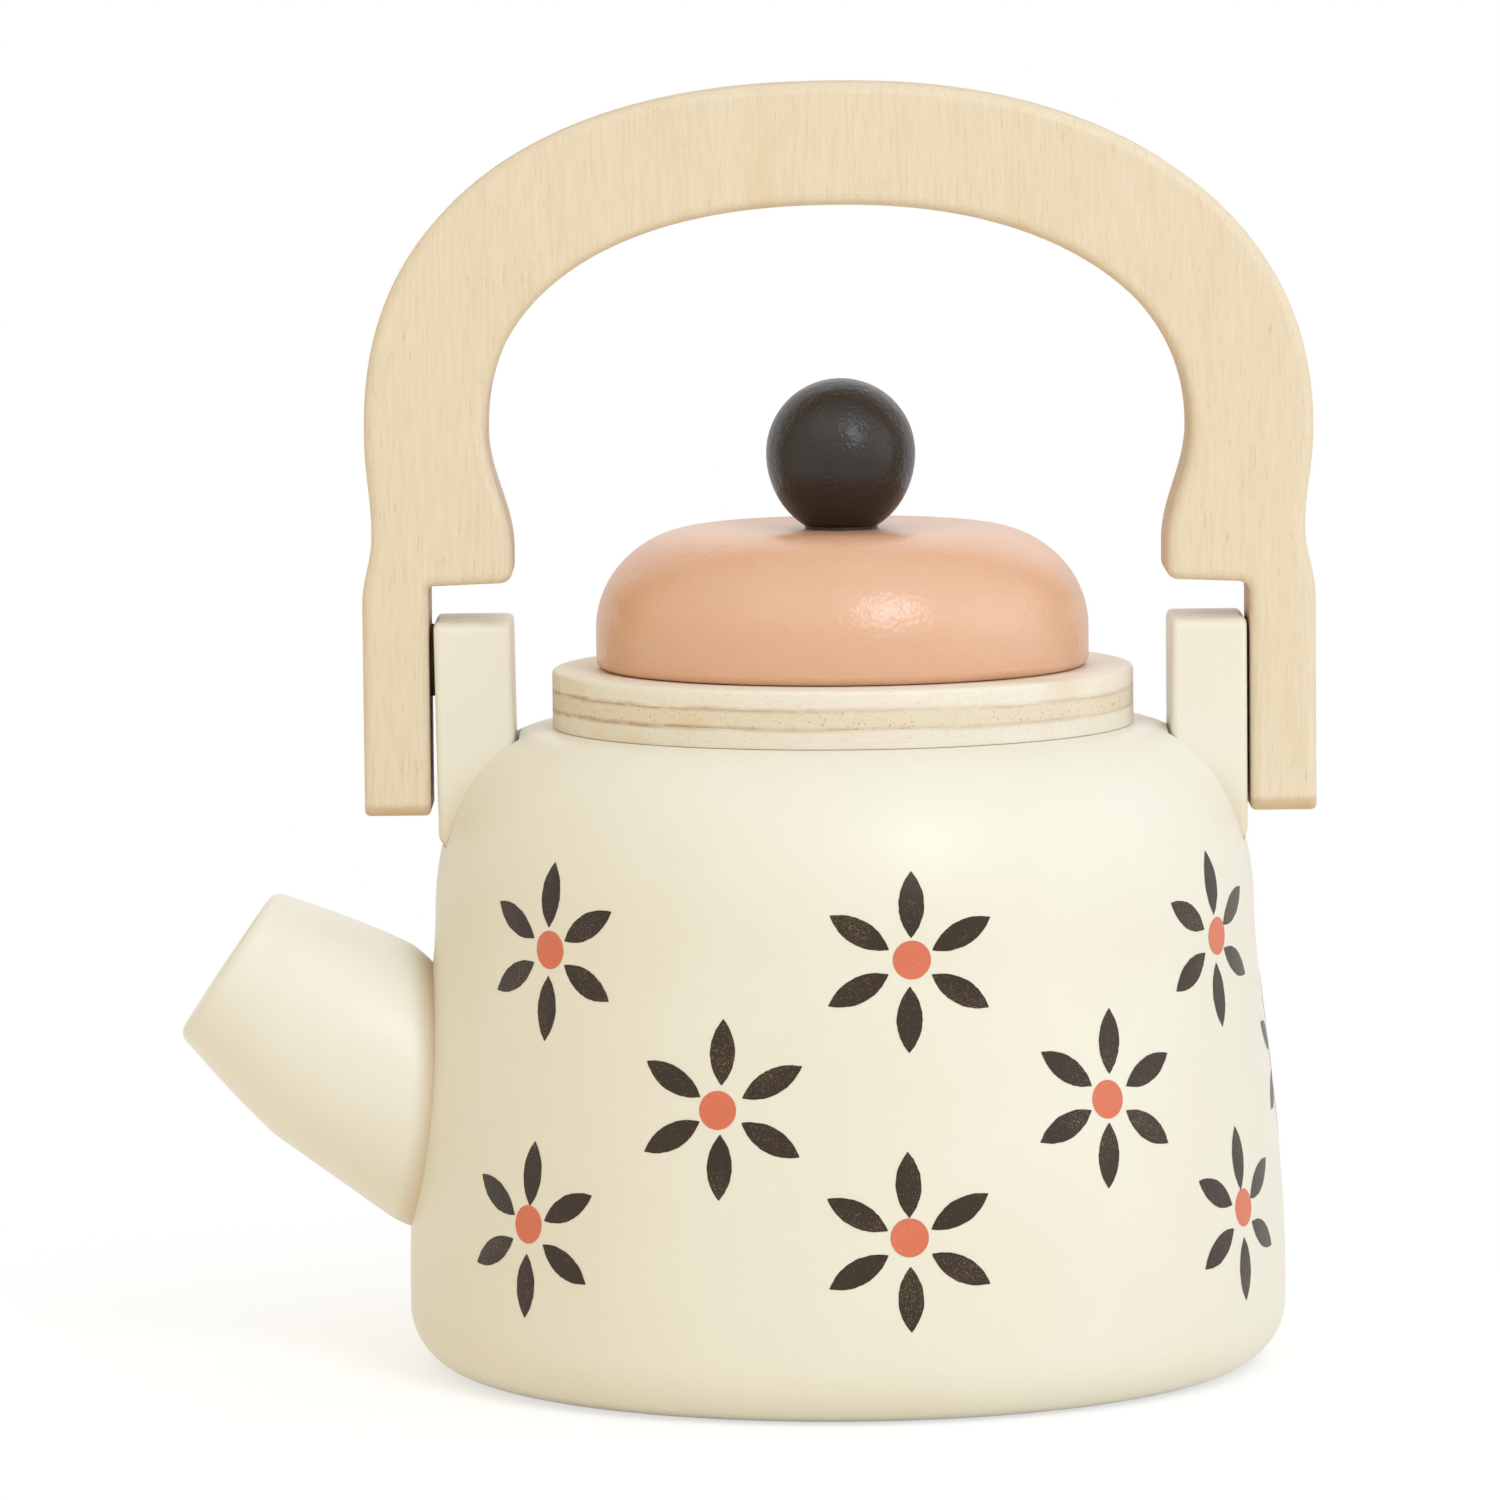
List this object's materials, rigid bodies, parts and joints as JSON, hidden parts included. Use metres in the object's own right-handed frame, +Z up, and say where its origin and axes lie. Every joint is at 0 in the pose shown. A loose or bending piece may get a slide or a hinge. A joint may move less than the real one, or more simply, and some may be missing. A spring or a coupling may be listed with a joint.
{
  "type": "wooden toy kettle",
  "caption": "Wooden toy kettle: turned painted body with a stub spout, plywood collar, lift-off domed lid with ball knob, and an arched plywood handle that swings on posts.",
  "frame": {"origin": "centre of the flat foot, on the body's axis", "axes": "+Z up along the body's axis, spout towards -X, handle swings about X"},
  "size_m": [0.1453, 0.1122, 0.1642],
  "materials": {
    "cream_paint": "satin cream paint on turned hardwood",
    "peach_paint": "satin peach paint on turned hardwood",
    "charcoal_paint": "satin charcoal paint on a turned ball",
    "birch_plywood": "clear-lacquered birch plywood",
    "beech_dowel": "bare beech dowel",
    "fibre_washer": "dark fibre washer"
  },
  "bodies": {
    "kettle": {"kettle_body": "cream_paint", "collar_ring": "birch_plywood", "spout": "cream_paint", "spout_dowel": "beech_dowel", "left_post": "cream_paint", "right_post": "cream_paint", "left_post_dowel_front": "beech_dowel", "left_post_dowel_rear": "beech_dowel", "right_post_dowel_front": "beech_dowel", "right_post_dowel_rear": "beech_dowel", "left_pivot_pin": "beech_dowel", "right_pivot_pin": "beech_dowel", "left_pivot_washer": "fibre_washer", "right_pivot_washer": "fibre_washer"},
    "carry_handle": {"handle": "birch_plywood"},
    "lid_and_knob": {"lid": "peach_paint", "lid_plug": "birch_plywood", "lid_knob": "charcoal_paint", "lid_dowel": "beech_dowel"}
  },
  "joints": [
    {"name": "handle_swing", "type": "hinge", "parent": "kettle", "child": "carry_handle", "pos_m": [0, 0, 0.0906], "axis": [1, 0, 0], "range_deg": [-98, 98]},
    {"name": "lid_lift", "type": "slide", "parent": "kettle", "child": "lid_and_knob", "axis": [0, 0, 1], "range_m": [0, 0.02]}
  ]
}
